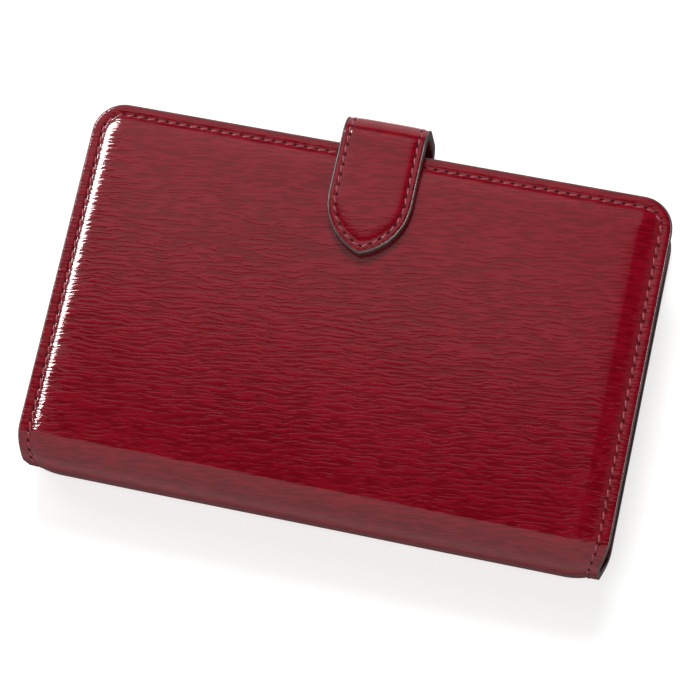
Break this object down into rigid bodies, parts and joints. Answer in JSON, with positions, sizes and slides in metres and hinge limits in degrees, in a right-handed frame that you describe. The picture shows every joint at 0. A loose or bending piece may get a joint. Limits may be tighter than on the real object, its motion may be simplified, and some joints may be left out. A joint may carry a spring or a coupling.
{
  "type": "bifold wallet",
  "caption": "Padded bifold wallet in rippled patent leather, with a pointed strap that snaps over the free edge, card slots, a note pocket and a zipped coin pouch.",
  "frame": {"origin": "the middle of the back cover's flat resting face, half way along the spine and half way from the spine to the free edge", "axes": "+X along the spine, to the right as the front cover is looked at with the strap at the top; +Y from the spine to the strap; +Z out through the front cover"},
  "size_m": [0.165, 0.1135, 0.027],
  "materials": {
    "patent_leather": "glossy, fine wavy ridges",
    "pocket_leather": "satin",
    "lining": "matt fine twill",
    "foam": "matt open foam",
    "board": "matt fibre board",
    "edge_paint": "satin painted edge",
    "thread": "twisted thread",
    "zip_tape": "matt woven tape",
    "pale_gold_metal": "polished plated metal"
  },
  "bodies": {
    "back_cover": {"back_leather": "patent_leather", "back_padding": "foam", "back_board": "board", "back_lining": "lining", "back_edge_paint": "edge_paint", "back_stitching": "thread", "bill_pocket_panel": "pocket_leather", "coin_pouch_lower_wall": "lining", "coin_pouch_upper_wall": "lining", "coin_pouch_gusset": "lining", "zip_tape_lower": "zip_tape", "zip_tape_upper": "zip_tape", "zip_teeth_lower": "pale_gold_metal", "zip_teeth_upper": "pale_gold_metal", "zip_stops": "pale_gold_metal", "back_fold_leather": "patent_leather", "strap_anchor": "patent_leather", "strap_lower_fold": "patent_leather"},
    "spine": {"spine_leather": "patent_leather", "spine_lining": "lining", "front_fold_leather": "patent_leather"},
    "front_cover": {"front_leather": "patent_leather", "front_padding": "foam", "front_board": "board", "front_lining": "lining", "front_edge_paint": "edge_paint", "front_stitching": "thread", "card_panel_1": "pocket_leather", "card_panel_2": "pocket_leather", "card_panel_3": "pocket_leather", "card_panel_4": "pocket_leather", "card_panel_5": "pocket_leather", "snap_stud": "pale_gold_metal", "snap_stud_washer": "pale_gold_metal"},
    "strap": {"strap_bridge": "patent_leather", "strap_upper_fold": "patent_leather"},
    "tongue": {"tongue_leather": "patent_leather", "tongue_board": "board", "tongue_lining": "lining", "tongue_edge_paint": "edge_paint", "tongue_stitching": "thread", "snap_socket": "pale_gold_metal"},
    "slider": {"zip_slider": "pale_gold_metal"},
    "puller": {"zip_puller": "pale_gold_metal"}
  },
  "joints": [
    {"name": "spine_fold", "type": "hinge", "parent": "back_cover", "child": "spine", "pos_m": [0, -0.05057, 0.00193], "axis": [1, 0, 0], "range_deg": [0, 90], "deforming": ["back_fold_leather"]},
    {"name": "cover_fold", "type": "hinge", "parent": "spine", "child": "front_cover", "pos_m": [0, -0.05057, 0.02207], "axis": [1, 0, 0], "range_deg": [0, 90], "deforming": ["front_fold_leather"]},
    {"name": "strap_lift", "type": "hinge", "parent": "back_cover", "child": "strap", "pos_m": [0, 0.0595, 0.0037], "axis": [-1, 0, 0], "range_deg": [0, 90], "deforming": ["strap_lower_fold"]},
    {"name": "tongue_lift", "type": "hinge", "parent": "strap", "child": "tongue", "pos_m": [0, 0.0595, 0.0253], "axis": [-1, 0, 0], "range_deg": [0, 90], "deforming": ["strap_upper_fold"]},
    {"name": "slider_travel", "type": "slide", "parent": "back_cover", "child": "slider", "axis": [-1, 0, 0], "range_m": [0, 0.112], "deforming": ["zip_teeth_lower", "zip_teeth_upper"]},
    {"name": "puller_swing", "type": "hinge", "parent": "slider", "child": "puller", "pos_m": [0.061, 0.04505, 0.0101], "axis": [0, 0, -1], "range_deg": [0, 170]}
  ],
  "couplings": [
    {"joint": "cover_fold", "follows": "spine_fold", "ratio": 1}
  ]
}
